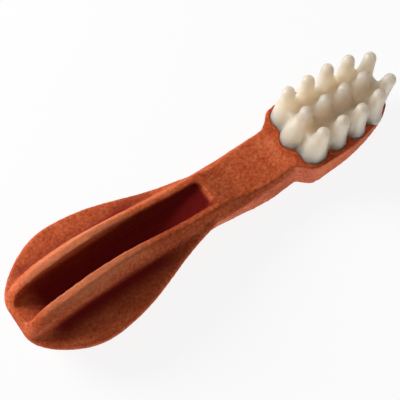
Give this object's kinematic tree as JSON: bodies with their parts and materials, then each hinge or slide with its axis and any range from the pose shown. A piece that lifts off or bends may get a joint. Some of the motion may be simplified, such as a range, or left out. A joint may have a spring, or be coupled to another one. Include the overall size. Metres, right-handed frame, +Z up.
{
  "type": "pet toothbrush chew",
  "caption": "Moulded dental chew shaped like a toothbrush: a fluted paddle-like grip, a short neck and a tapering head that carries a pad of soft round nubs.",
  "frame": {"origin": "middle of the chew's footprint on the surface that it lies on, with the nubs upwards: half way between the bulb's end and the nubs' tips, on the plane of symmetry", "axes": "+X along the chew from the fluted bulb to the tip of the head, +Y to the left, +Z up, away from the surface and along the nubs"},
  "size_m": [0.1209, 0.0364, 0.0231],
  "materials": {
    "body_compound": "matt, finely granular",
    "pad_compound": "satin, slightly translucent"
  },
  "bodies": {
    "root": {"chew_handle": "body_compound", "bristle_pad": "pad_compound"}
  },
  "joints": []
}
